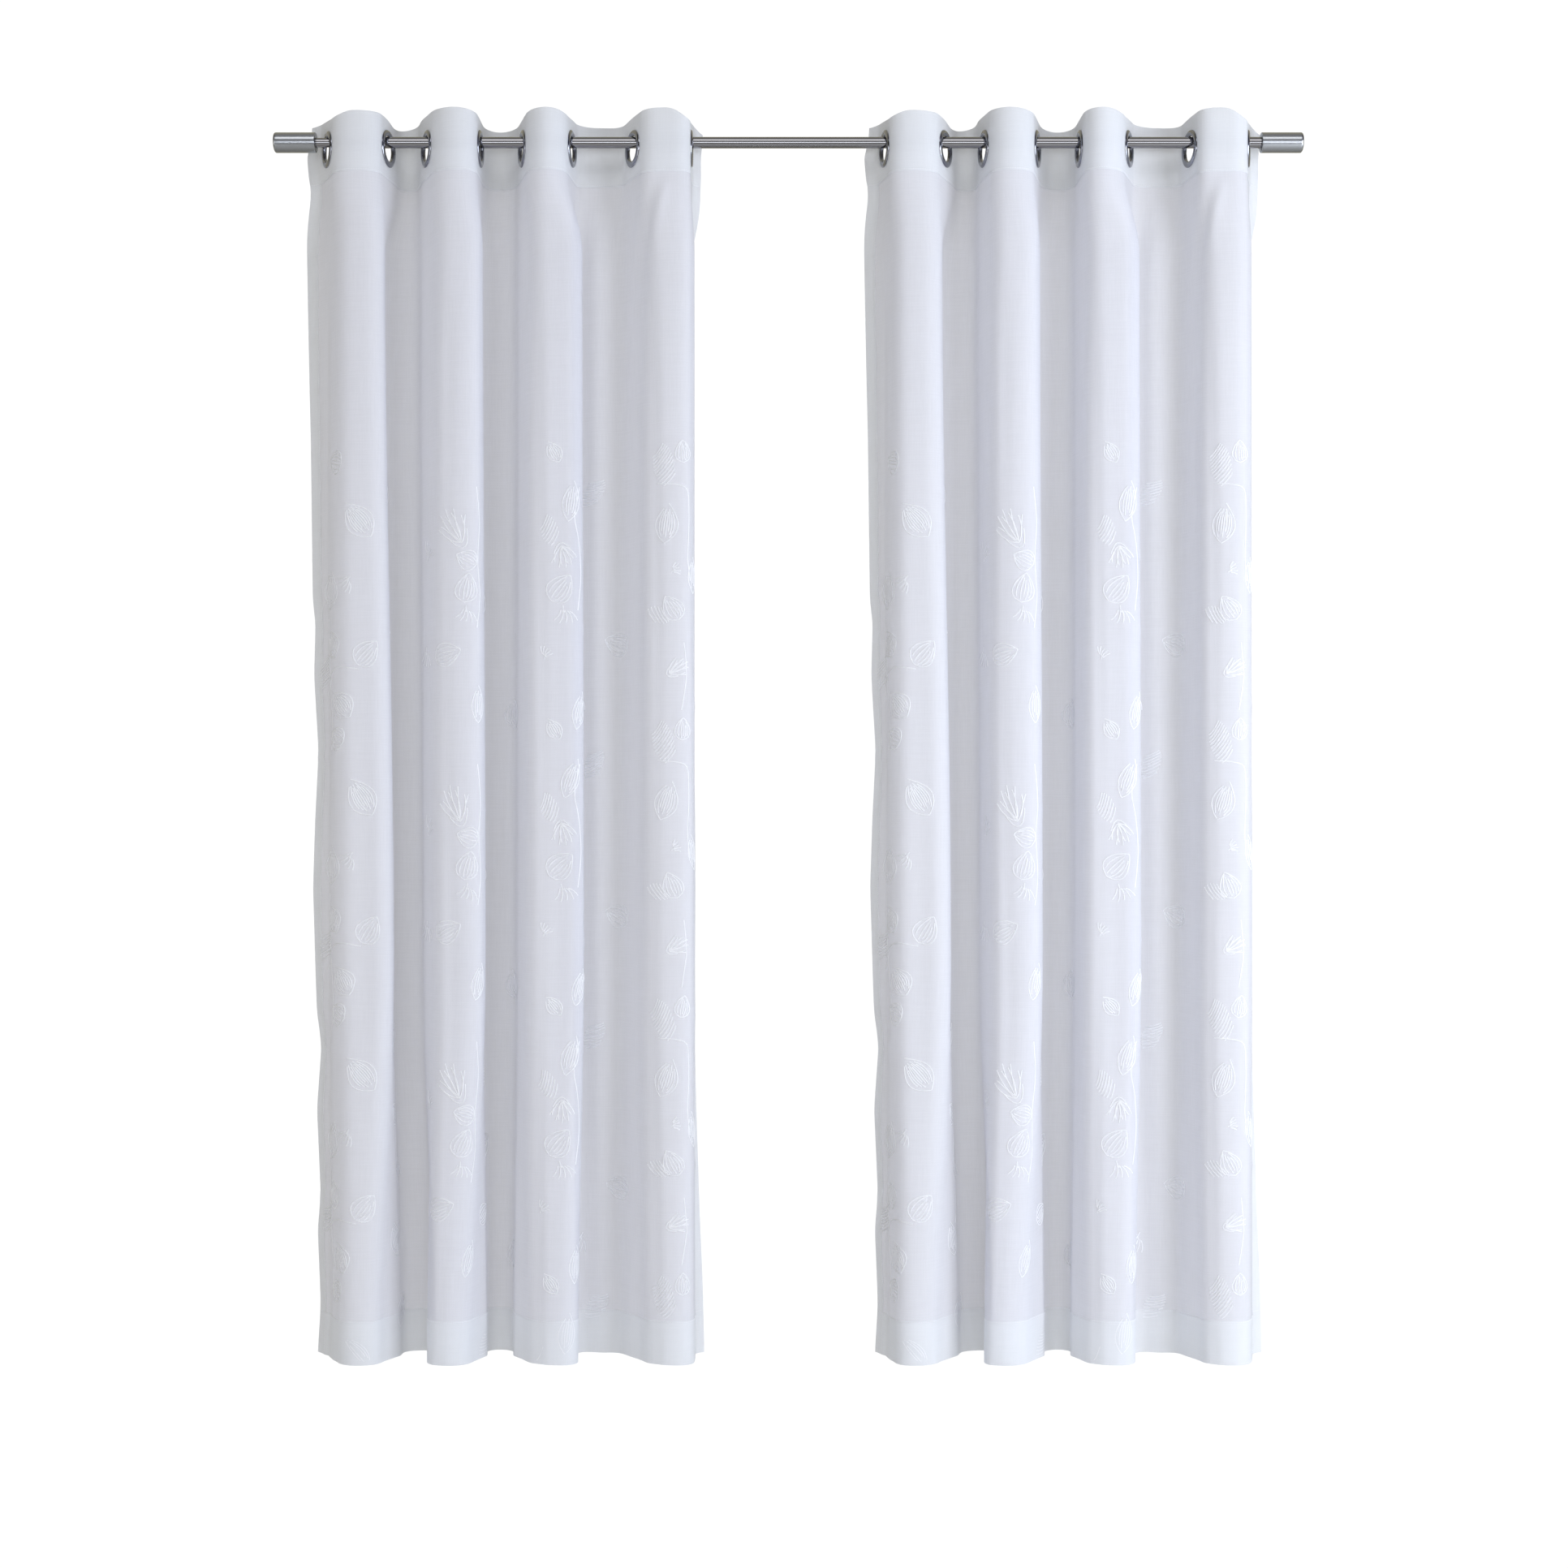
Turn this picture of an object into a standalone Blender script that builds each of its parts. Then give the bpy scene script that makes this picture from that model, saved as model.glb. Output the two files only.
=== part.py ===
"""Pair of sheer voile eyelet curtains, hanging drawn part way along a telescoping rod.

Metres, +Z up. The origin is on the rod's axis, at the middle of its length. X runs along the rod,
and the room is on the -Y side, so front folds reach towards -Y and back folds towards the wall.
"""
import math
from collections import namedtuple

import bmesh
import bpy
import numpy as np
from mathutils import Vector

CLEARANCE = 0.0003  # between pieces that touch
MERGE = 0.00001

# Each panel is a 50 x 84 inch length, cut once and hemmed on three sides.
PANEL_WIDTH = 1.27
PANEL_LENGTH = 2.134
HEADING_DEPTH = 0.103
BOTTOM_HEM = 0.075
VOILE_THICKNESS = 0.0012
DOUBLED_THICKNESS = 0.0024
HEM_STEP = 0.0015  # width over which the cloth goes from single to double
PANEL_CENTRES = {"left": -0.480, "right": 0.480}
LEAN = 0.126  # sideways shift of a fold for each metre that it stands out

# Eyelets, pressed from two halves through the doubled heading.
EYELETS = 8
EYELET_HOLE = 0.042
EYELET_BARREL = 0.047
EYELET_FLANGE = 0.063
EYELET_THICKNESS = 0.008
CLOTH_HOLE = EYELET_BARREL + 2 * CLEARANCE
EYELET_BELOW_EDGE = 0.050
EYELET_SEGMENTS = 16

# Rod: a 3/4 inch tube, with a 5/8 inch tube that slides in its left end.
OUTER_TUBE = 0.01905
OUTER_BORE = 0.01665
INNER_TUBE = 0.0159
INNER_BORE = 0.0139
TUBE_SEGMENTS = 24
ROD_HALF = 0.8855
FINIAL_LENGTH = 0.0715
FINIAL_DIAMETER = 0.034
FINIAL_ROUND = 0.0035
FINIAL_CHAMFER = 0.0008
SOCKET_DEPTH = 0.030
JUNCTION_X = -0.735  # left end of the outer tube, behind the first front fold
TUBE_OVERLAP = 0.600

# How the cloth folds. Eyelets hold it flat on lines that cross under the rod, and between two
# lines it turns once, to the front and to the back by turns. The cloth from one line to the
# next always has the same width, so a fold that is squeezed sideways stands further out.
EDGE_TO_LINE = 0.0575
LINE_PITCH = (PANEL_WIDTH - 2 * EDGE_TO_LINE) / (EYELETS - 1)
FLAT_AT_EYELET = 0.0325  # flat cloth each side of an eyelet's centre
FLAT_BELOW = 0.018
FLAT_CREST = 0.16  # radians by which a free fold turns early and late, and so less at its crest
FREED = (0.0, 1.0, 1.0, 1.0)  # how far the cloth is free of its eyelets at the four stations
SIDE_HEM = EDGE_TO_LINE - FLAT_AT_EYELET

FoldLine = namedtuple(
    "FoldLine", "x turn_head turn_upper turn_lower turn_hem shift_upper shift_lower shift_hem"
)
# x is from the panel's centre, and shift is how far the line has moved along X from there.
# turn is the cloth's angle to the rod in degrees: past 90 the fold overhangs its own flank.
FOLD_LINES = (
    FoldLine(-0.3136, 71.0, 60, 60, 66, 0.000, 0.004, 0.007),
    FoldLine(-0.2101, 72.5, 96, 96, 58, -0.006, 0.006, 0.003),
    FoldLine(-0.1429, 72.5, 64, 66, 98, 0.000, 0.003, 0.007),
    FoldLine(-0.0520, 82.0, 97, 96, 62, 0.003, 0.006, -0.001),
    FoldLine(0.0221, 80.0, 66, 68, 60, 0.002, 0.000, -0.004),
    FoldLine(0.1060, 76.0, 112, 112, 92, 0.009, 0.012, 0.010),
    FoldLine(0.2123, 70.5, 60, 62, 58, 0.004, 0.004, 0.005),
    FoldLine(0.3116, 84.0, 94, 92, 84, 0.003, 0.004, 0.007),
)
Edge = namedtuple("Edge", "turn_head turn_upper turn_lower turn_hem")
# The cloth's angle to the rod at its two side edges, which both turn to the back.
LEFT_EDGE = Edge(-15, 30, 45, 55)
RIGHT_EDGE = Edge(58, 80, 66, 24)

HEADING_TOP_ABOVE_AXIS = (
    EYELET_BELOW_EDGE
    + OUTER_TUBE / 2
    + CLEARANCE
    - EYELET_HOLE / 2 * math.cos(math.pi / EYELET_SEGMENTS)
)
HEADING_BOTTOM = HEADING_TOP_ABOVE_AXIS - HEADING_DEPTH
PANEL_TOP = HEADING_BOTTOM - CLEARANCE
PANEL_BOTTOM = HEADING_TOP_ABOVE_AXIS - PANEL_LENGTH
HEM_SEAM = PANEL_BOTTOM + BOTTOM_HEM
# Heights of the table's stations: head, upper, lower, hem.
STATIONS = (PANEL_TOP, -0.30, -1.40, PANEL_BOTTOM)
ROWS_UNDER_HEADING = 3
ROWS_TO_HEM = 7
STEPS_PER_FOLD = 6
CURVE_SAMPLES = 24
SOLVER_ROUNDS = 12


def clear_scene():
    for old in list(bpy.data.objects):
        bpy.data.objects.remove(old, do_unlink=True)


def new_collection(name):
    collection = bpy.data.collections.new(name)
    bpy.context.scene.collection.children.link(collection)
    return collection


def finish(name, colour, roughness, metallic):
    material = bpy.data.materials.new(name)
    material.use_nodes = True
    shader = material.node_tree.nodes["Principled BSDF"]
    shader.inputs["Base Color"].default_value = (*colour, 1.0)
    shader.inputs["Roughness"].default_value = roughness
    shader.inputs["Metallic"].default_value = metallic
    return material


def add_object(name, bm, collection, material=None):
    mesh = bpy.data.meshes.new(name)
    bm.to_mesh(mesh)
    bm.free()
    obj = bpy.data.objects.new(name, mesh)
    collection.objects.link(obj)
    if material:
        mesh.materials.append(material)
    return obj


def at_height(values, height):
    """A table row's four station values, eased from one station to the next."""
    if height >= STATIONS[0]:
        return values[0]
    for i in range(len(STATIONS) - 1):
        if height >= STATIONS[i + 1] or i == len(STATIONS) - 2:
            share = min(1.0, (STATIONS[i] - height) / (STATIONS[i] - STATIONS[i + 1]))
            ease = share * share * (3 - 2 * share)
            return values[i] + (values[i + 1] - values[i]) * ease


def line_at(index, height):
    """Where an eyelet's line is at this height, and the cloth's turn there in radians.

    The turn is signed, for going left to right: negative where the cloth comes forward.
    """
    line = FOLD_LINES[index]
    turns = (line.turn_head, line.turn_upper, line.turn_lower, line.turn_hem)
    shifts = (0.0, line.shift_upper, line.shift_lower, line.shift_hem)
    turn = math.radians(at_height(turns, height))
    towards = -1 if index % 2 == 0 else 1
    return np.array((line.x + at_height(shifts, height), 0.0)), towards * turn


def direction(turn):
    return np.array((math.cos(turn), math.sin(turn)))


def fold_curve(start, turn_from, end, turn_to, length, crest):
    """One fold between two flat stretches, as a bent strip of this length takes it.

    The cloth turns evenly, but for crest, by which it turns early and late and so less between.
    Two slow waves are added, whose sizes are solved so that the strip ends on its mark.
    """
    t = (np.arange(CURVE_SAMPLES) + 0.5) / CURVE_SAMPLES
    flatter = math.copysign(crest, turn_from) * np.sin(4 * math.pi * t)
    waves = np.stack((np.sin(math.pi * t), np.sin(2 * math.pi * t)))
    sizes = np.zeros(2)
    step = length / CURVE_SAMPLES
    for _ in range(SOLVER_ROUNDS):
        turns = turn_from + (turn_to - turn_from) * t + flatter + sizes @ waves
        steps = step * np.stack((np.cos(turns), np.sin(turns)), axis=1)
        slope = step * np.stack((-np.sin(turns), np.cos(turns))) @ waves.T
        sizes += np.linalg.solve(slope, end - start - steps.sum(axis=0))
    return np.concatenate((start[None, :], start + np.cumsum(steps, axis=0)))


def edge_curve(start, turn_from, turn_to, side, length):
    """The stretch from the last flat cloth out to a side edge, turning as it goes."""
    turns = np.linspace(turn_from, turn_to, CURVE_SAMPLES)
    steps = np.stack((side * np.cos(turns), np.sin(turns)), axis=1) * length / CURVE_SAMPLES
    return np.concatenate((start[None, :], start + np.cumsum(steps, axis=0)))


def plan_at(height):
    """The cloth's line in plan at this height, from its left edge to its right edge."""
    share = at_height(FREED, height)
    flat = FLAT_AT_EYELET + (FLAT_BELOW - FLAT_AT_EYELET) * share
    lines = [line_at(i, height) for i in range(EYELETS)]
    turns = [turn for _, turn in lines]
    starts = [centre - flat * direction(turn) for centre, turn in lines]
    ends = [centre + flat * direction(turn) for centre, turn in lines]
    left_edge, right_edge = (math.radians(at_height(e, height)) for e in (LEFT_EDGE, RIGHT_EDGE))
    left = edge_curve(starts[0], -turns[0], left_edge, -1, EDGE_TO_LINE - flat)
    right = edge_curve(ends[-1], turns[-1], right_edge, 1, EDGE_TO_LINE - flat)
    stretches = [left[::-1]]
    bent = LINE_PITCH - 2 * flat
    for i in range(EYELETS - 1):
        stretches.append(
            fold_curve(ends[i], turns[i], starts[i + 1], turns[i + 1], bent, FLAT_CREST * share)
        )
    stretches.append(right)
    return np.concatenate(stretches)


def place_on_cloth(distances, height, centre_x, lean):
    """World positions at these distances along the cloth from its left edge."""
    plan = plan_at(height)
    along = np.concatenate(((0.0,), np.cumsum(np.linalg.norm(np.diff(plan, axis=0), axis=1))))
    along *= PANEL_WIDTH / along[-1]
    x, y = (np.interp(distances, along, plan[:, axis]) for axis in (0, 1))
    return [Vector((centre_x + px + lean * py, py, height)) for px, py in zip(x, y)]


def cloth_columns(hem_steps):
    """Distances along the cloth where it has a column of points."""
    fold_width = LINE_PITCH - 2 * FLAT_AT_EYELET
    columns = [0.0, SIDE_HEM / 2]
    if hem_steps:
        columns += [SIDE_HEM - HEM_STEP]
    for i in range(EYELETS):
        line = EDGE_TO_LINE + i * LINE_PITCH
        columns += [line - FLAT_AT_EYELET, line, line + FLAT_AT_EYELET]
        if i < EYELETS - 1:
            first = line + FLAT_AT_EYELET
            columns += [first + fold_width * k / STEPS_PER_FOLD for k in range(1, STEPS_PER_FOLD)]
    if hem_steps:
        columns += [PANEL_WIDTH - SIDE_HEM + HEM_STEP]
    return columns + [PANEL_WIDTH - SIDE_HEM / 2, PANEL_WIDTH]


def cloth_sheet(name, columns, rows, centre_x, lean, collection, material):
    """A grid of cloth: columns are distances along it, and rows are heights."""
    bm = bmesh.new()
    bmesh.ops.create_grid(
        bm, x_segments=len(columns) - 1, y_segments=len(rows) - 1, size=0.5
    )
    placed = [place_on_cloth(columns, height, centre_x, lean) for height in rows]
    for vert in bm.verts:
        column = round((vert.co.x + 0.5) * (len(columns) - 1))
        row = round((vert.co.y + 0.5) * (len(rows) - 1))
        vert.co = placed[row][column]
    return add_object(name, bm, collection, material)


def thicken(obj, thickness, group=None, single_share=1.0):
    solidify = obj.modifiers.new("Thickness", "SOLIDIFY")
    solidify.thickness = thickness
    solidify.offset = 0.0
    solidify.use_even_offset = True
    if group:
        solidify.vertex_group = group
        solidify.thickness_vertex_group = single_share
    obj.data.shade_smooth()


def make_panel(side, centre_x, lean, collection, material):
    """The panel below its heading, with the bottom hem and both side hems double."""
    columns = cloth_columns(hem_steps=True)
    rows = list(np.linspace(STATIONS[0], STATIONS[1], ROWS_UNDER_HEADING + 1))
    rows += list(np.linspace(STATIONS[1], HEM_SEAM + HEM_STEP, ROWS_TO_HEM + 1)[1:])
    rows += [HEM_SEAM, PANEL_BOTTOM]
    panel = cloth_sheet(f"{side}_panel", columns, rows, centre_x, lean, collection, material)
    hems = panel.vertex_groups.new(name="hems")
    for row, height in enumerate(rows):
        for column, distance in enumerate(columns):
            in_side_hem = min(distance, PANEL_WIDTH - distance) < SIDE_HEM - HEM_STEP / 2
            if in_side_hem or height < HEM_SEAM + HEM_STEP / 2:
                hems.add([row * len(columns) + column], 1.0, "REPLACE")
    thicken(panel, DOUBLED_THICKNESS, hems.name, VOILE_THICKNESS / DOUBLED_THICKNESS)
    return panel


def eyelet_spot(index, centre_x, lean):
    """An eyelet's centre, and its turn about Z so that it lies in the cloth."""
    tube = INNER_TUBE if centre_x + FOLD_LINES[index].x < JUNCTION_X else OUTER_TUBE
    inner_radius = EYELET_HOLE / 2 * math.cos(math.pi / EYELET_SEGMENTS)
    drop = inner_radius - tube / 2 - CLEARANCE
    centre, turn = line_at(index, STATIONS[0])
    leaning_turn = math.atan2(math.sin(turn), math.cos(turn) + lean * math.sin(turn))
    return Vector((centre_x + centre[0], 0.0, -drop)), leaning_turn + math.pi / 2


def make_heading(side, centre_x, lean, collection, cutters, material):
    """The doubled strip at the top, with a round hole cut for each eyelet's barrel."""
    columns = cloth_columns(hem_steps=False)
    rows = [HEADING_BOTTOM, HEADING_TOP_ABOVE_AXIS]
    heading = cloth_sheet(f"{side}_heading", columns, rows, centre_x, lean, collection, material)
    thicken(heading, DOUBLED_THICKNESS)
    for index in range(EYELETS):
        bm = bmesh.new()
        bmesh.ops.create_cone(
            bm,
            cap_ends=True,
            segments=EYELET_SEGMENTS,
            radius1=CLOTH_HOLE / 2,
            radius2=CLOTH_HOLE / 2,
            depth=2 * EYELET_THICKNESS,
        )
        cutter = add_object(f"{side}_heading_cutter_{index + 1}", bm, cutters)
        spot, turn = eyelet_spot(index, centre_x, lean)
        cutter.location = spot
        cutter.rotation_euler = (0.0, math.pi / 2, turn)
        cutter.hide_render = True
        cutter.display_type = "WIRE"
        cut = heading.modifiers.new(f"Hole {index + 1}", "BOOLEAN")
        cut.operation = "DIFFERENCE"
        cut.solver = "EXACT"
        cut.object = cutter
    return heading


def turned(name, profile, closed, segments, collection, material):
    """A turned piece about local Z: profile points are (radius, height), down the outer side."""
    bm = bmesh.new()
    verts = [bm.verts.new((radius, 0.0, height)) for radius, height in profile]
    for first, second in zip(verts, verts[1:]):
        bm.edges.new((first, second))
    if closed:
        bm.edges.new((verts[-1], verts[0]))
    piece = add_object(name, bm, collection, material)
    screw = piece.modifiers.new("Turn", "SCREW")
    screw.axis = "Z"
    screw.angle = 2 * math.pi
    screw.steps = screw.render_steps = segments
    screw.use_merge_vertices = True
    screw.merge_threshold = MERGE
    screw.use_smooth_shade = True
    return piece


def make_eyelet(side, index, centre_x, lean, collection, material):
    """Barrel through the cloth and a flange on each face, with a groove that grips the heading."""
    half = EYELET_THICKNESS / 2
    groove = DOUBLED_THICKNESS / 2 + CLEARANCE
    profile = (
        (EYELET_FLANGE / 2, half),
        (EYELET_FLANGE / 2, groove),
        (EYELET_BARREL / 2, groove),
        (EYELET_BARREL / 2, -groove),
        (EYELET_FLANGE / 2, -groove),
        (EYELET_FLANGE / 2, -half),
        (EYELET_HOLE / 2, -half),
        (EYELET_HOLE / 2, half),
    )
    name = f"{side}_eyelet_{index + 1}"
    eyelet = turned(name, profile, True, EYELET_SEGMENTS, collection, material)
    eyelet.location, turn = eyelet_spot(index, centre_x, lean)
    eyelet.rotation_euler = (0.0, math.pi / 2, turn)


def make_tube(name, outer, bore, left_x, right_x, collection, material):
    length = right_x - left_x
    profile = ((outer / 2, length), (outer / 2, 0.0), (bore / 2, 0.0), (bore / 2, length))
    tube = turned(name, profile, True, TUBE_SEGMENTS, collection, material)
    tube.location = (left_x, 0.0, 0.0)
    tube.rotation_euler = (0.0, math.pi / 2, 0.0)


def make_finial(name, side, tube, collection, material):
    """A plain cylinder that caps the rod, with a blind socket for the tube's end."""
    radius = FINIAL_DIAMETER / 2
    socket = (tube / 2 + CLEARANCE) / math.cos(math.pi / TUBE_SEGMENTS)
    corner = [
        (
            radius - FINIAL_ROUND * (1 - math.sin(angle)),
            FINIAL_LENGTH - FINIAL_ROUND * (1 - math.cos(angle)),
        )
        for angle in (0.0, math.pi / 6, math.pi / 3, math.pi / 2)
    ]
    profile = (
        (0.0, FINIAL_LENGTH),
        *corner,
        (radius, FINIAL_CHAMFER),
        (radius - FINIAL_CHAMFER, 0.0),
        (socket, 0.0),
        (socket, SOCKET_DEPTH),
        (0.0, SOCKET_DEPTH),
    )
    finial = turned(name, profile, False, TUBE_SEGMENTS, collection, material)
    finial.location = (side * (ROD_HALF - FINIAL_LENGTH), 0.0, 0.0)
    finial.rotation_euler = (0.0, side * math.pi / 2, 0.0)


def make_rod(collection):
    tube_steel = finish("Polished steel tube", (0.42, 0.43, 0.45), 0.18, 1.0)
    inner_steel = finish("Polished steel inner tube", (0.40, 0.41, 0.43), 0.18, 1.0)
    left_nickel = finish("Brushed nickel left finial", (0.50, 0.50, 0.50), 0.38, 1.0)
    right_nickel = finish("Brushed nickel right finial", (0.50, 0.50, 0.50), 0.38, 1.0)
    tube_end = ROD_HALF - FINIAL_LENGTH + SOCKET_DEPTH - CLEARANCE
    make_tube(
        "rod_outer_tube", OUTER_TUBE, OUTER_BORE, JUNCTION_X, tube_end, collection, tube_steel
    )
    make_tube(
        "rod_inner_tube",
        INNER_TUBE,
        INNER_BORE,
        -tube_end,
        JUNCTION_X + TUBE_OVERLAP,
        collection,
        inner_steel,
    )
    make_finial("left_finial", -1, INNER_TUBE, collection, left_nickel)
    make_finial("right_finial", 1, OUTER_TUBE, collection, right_nickel)


def make_curtain(side, centre_x, collection, cutters):
    lean = math.copysign(LEAN, centre_x)
    voile = finish(f"White voile {side} panel", (0.86, 0.87, 0.90), 0.85, 0.0)
    doubled = finish(f"White voile {side} heading", (0.90, 0.90, 0.92), 0.85, 0.0)
    make_panel(side, centre_x, lean, collection, voile)
    make_heading(side, centre_x, lean, collection, cutters, doubled)
    for index in range(EYELETS):
        nickel = finish(f"Dark nickel {side} eyelet {index + 1}", (0.25, 0.25, 0.26), 0.22, 1.0)
        make_eyelet(side, index, centre_x, lean, collection, nickel)


def build():
    clear_scene()
    curtain_pair = new_collection("Voile curtain pair")
    cutters = new_collection("Cutters")
    make_rod(curtain_pair)
    for side, centre_x in PANEL_CENTRES.items():
        make_curtain(side, centre_x, curtain_pair, cutters)


build()
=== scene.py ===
"""Pair of sheer white voile eyelet curtains, hanging from a telescoping metal rod."""
import math
from collections import namedtuple

import bmesh
import bpy
import numpy as np
from mathutils import Matrix, Vector


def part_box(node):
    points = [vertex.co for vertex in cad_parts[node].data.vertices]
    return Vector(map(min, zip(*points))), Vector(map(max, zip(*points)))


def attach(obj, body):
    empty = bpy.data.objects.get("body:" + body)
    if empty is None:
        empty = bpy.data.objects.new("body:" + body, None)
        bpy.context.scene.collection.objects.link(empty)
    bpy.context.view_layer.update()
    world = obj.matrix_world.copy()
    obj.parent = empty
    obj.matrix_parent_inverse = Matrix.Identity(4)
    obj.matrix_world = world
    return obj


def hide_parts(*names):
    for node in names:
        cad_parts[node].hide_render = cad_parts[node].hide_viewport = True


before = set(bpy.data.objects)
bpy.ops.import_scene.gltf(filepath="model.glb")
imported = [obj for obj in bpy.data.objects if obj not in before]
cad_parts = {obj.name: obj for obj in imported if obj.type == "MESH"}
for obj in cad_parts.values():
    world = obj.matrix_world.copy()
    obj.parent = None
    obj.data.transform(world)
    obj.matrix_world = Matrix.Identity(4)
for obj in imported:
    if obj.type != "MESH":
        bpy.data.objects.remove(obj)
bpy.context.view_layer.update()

# ---- Voile panels -------------------------------------------------------------------------------
# Each curtain is one 50 x 84 inch length of white polyester voile, a sheer plain weave with thick
# and thin yarns. It is hemmed double at the bottom and at both sides, and hangs from eight eyelets,
# so it folds to the room and to the wall by turns. The panel is all of it below the heading.
PANEL_WIDTH = 1.27
PANEL_LENGTH = 2.134
HEADING_DEPTH = 0.103
BOTTOM_HEM = 0.075
SIDE_HEM = 0.025
VOILE = 0.0005  # one layer, drawn a little thicker than the real 0.2 mm
DOUBLED = 0.0011
PANEL_CENTRES = {"left": -0.480, "right": 0.480}
LEAN = 0.126  # sideways shift of a fold for each metre that it stands out
CLEARANCE = 0.0003  # what neighbouring pieces stand clear of each other

EYELETS = 8
EDGE_TO_LINE = 0.0575  # across the cloth, from a side edge to the nearest eyelet
LINE_PITCH = (PANEL_WIDTH - 2 * EDGE_TO_LINE) / (EYELETS - 1)
FLAT_AT_EYELET = 0.0325  # the cloth is flat for this far to each side of an eyelet
FLAT_BELOW = 0.018  # and this far below the heading
FLAT_CREST = 0.16  # how much a fold to the room is flattened from an even bend, in radians
FLAT_VALLEY = 0.28  # and a fold to the wall

PANEL_TOP_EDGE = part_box("left_heading")[1].z
HEADING_BOTTOM = PANEL_TOP_EDGE - HEADING_DEPTH
PANEL_TOP = HEADING_BOTTOM - CLEARANCE
PANEL_BOTTOM = PANEL_TOP_EDGE - PANEL_LENGTH
HEM_SEAM = PANEL_BOTTOM + BOTTOM_HEM
STATIONS = (PANEL_TOP, -0.20, -1.40, PANEL_BOTTOM)  # heights that the folds are given at
FREED = (0.0, 1.0, 1.0, 1.0)  # how free of the eyelets' hold the cloth is at each station

# The cloth crosses under the rod on one line for each eyelet. x is that line's place from the
# panel's centre, turn its angle to the rod in degrees at the four stations, and shift its drift
# in metres at the last three.
FoldLine = namedtuple(
    "FoldLine", "x turn_head turn_upper turn_lower turn_hem shift_upper shift_lower shift_hem"
)
FOLD_LINES = (
    FoldLine(-0.3136, 71.0, 60, 60, 66, 0.000, 0.004, 0.007),
    FoldLine(-0.2101, 72.5, 96, 96, 58, -0.006, 0.009, 0.008),
    FoldLine(-0.1429, 72.5, 64, 66, 98, 0.000, 0.003, 0.007),
    FoldLine(-0.0520, 82.0, 97, 96, 62, 0.003, 0.008, 0.002),
    FoldLine(0.0221, 80.0, 66, 68, 60, 0.002, 0.000, -0.004),
    FoldLine(0.1060, 76.0, 112, 112, 92, 0.009, 0.012, 0.010),
    FoldLine(0.2123, 70.5, 60, 62, 58, 0.004, 0.004, 0.005),
    FoldLine(0.3116, 84.0, 94, 92, 84, 0.003, 0.004, 0.007),
)
LEFT_EDGE = (-15, 30, 45, 55)  # the side edges' angles to the rod at the stations, in degrees
RIGHT_EDGE = (12, 80, 66, 24)
CURVE_SAMPLES = 48  # steps along each fold

# Columns of points across the cloth, in metres from its left edge, and rows, as heights.
COLUMNS = np.concatenate((
    np.linspace(0.0, SIDE_HEM, 6)[:-1],
    np.linspace(SIDE_HEM, PANEL_WIDTH - SIDE_HEM, 202),
    np.linspace(PANEL_WIDTH - SIDE_HEM, PANEL_WIDTH, 6)[1:],
))
HEADING_ROWS = np.linspace(PANEL_TOP_EDGE, HEADING_BOTTOM, 24)
PANEL_ROWS = np.concatenate((
    np.linspace(HEADING_BOTTOM, HEM_SEAM, 190)[:-1], np.linspace(HEM_SEAM, PANEL_BOTTOM, 9),
))
ROWS = np.concatenate((HEADING_ROWS, PANEL_ROWS[1:]))

# Soft flutes that run down the folds: mm from the left edge, mm down from the top edge where they
# begin, how far they drift sideways by the hem, their half width, and how proud they stand.
FLUTE_RUN_IN = 260  # mm; a flute has its full height this far below its beginning
Flute = namedtuple("Flute", "across begins sway half_width proud")
FLUTES = (
    Flute(36, 180, -14, 9, 1.6),
    Flute(57, 200, -16, 8, -2.4),
    Flute(84, 420, -12, 13, 1.6),
    Flute(404, 230, 6, 17, 2.6),
    Flute(446, 210, 8, 12, -3.0),
    Flute(739, 230, 5, 15, 2.4),
    Flute(769, 200, 4, 10, -2.6),
    Flute(1078, 240, 0, 13, 2.2),
    Flute(1103, 210, 0, 10, -2.6),
    Flute(1210, 160, 6, 14, 1.8),
    Flute(300, 300, -10, 22, 2.4),
    Flute(634, 260, 0, 18, -2.0),
    Flute(968, 320, 6, 20, 2.2),
)
# Soft creases: middle of each, mm across and down, its tilt from the horizontal in degrees, half
# its length, half its width, and how proud it stands.
Crease = namedtuple("Crease", "across down tilt half_length half_width proud")
CREASES = (
    Crease(1117, 155, 108, 62, 8, 3.0),
    Crease(1092, 175, 106, 70, 9, -2.6),
    Crease(1062, 182, 108, 50, 9, 2.4),
    Crease(1004, 194, 112, 45, 10, 1.8),
    Crease(690, 170, 70, 60, 8, 1.2),
    Crease(352, 175, -68, 60, 8, 1.2),
    Crease(170, 1848, 4, 45, 4, 1.4),
    Crease(150, 1604, -3, 60, 7, 1.2),
    Crease(60, 862, 12, 45, 7, 1.6),
    Crease(55, 1092, -9, 50, 8, 1.8),
    Crease(58, 1600, 8, 48, 7, 2.0),
    Crease(40, 1862, -8, 40, 7, 1.4),
    Crease(505, 1185, 14, 40, 9, 1.0),
    Crease(500, 820, -10, 44, 10, 1.0),
    Crease(826, 880, 9, 42, 9, 1.1),
    Crease(838, 1420, -12, 46, 9, 1.1),
    Crease(1160, 1010, 10, 44, 10, 1.0),
    Crease(1172, 1545, -7, 48, 9, 1.2),
    Crease(1206, 1800, 12, 46, 9, 1.4),
)
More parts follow.
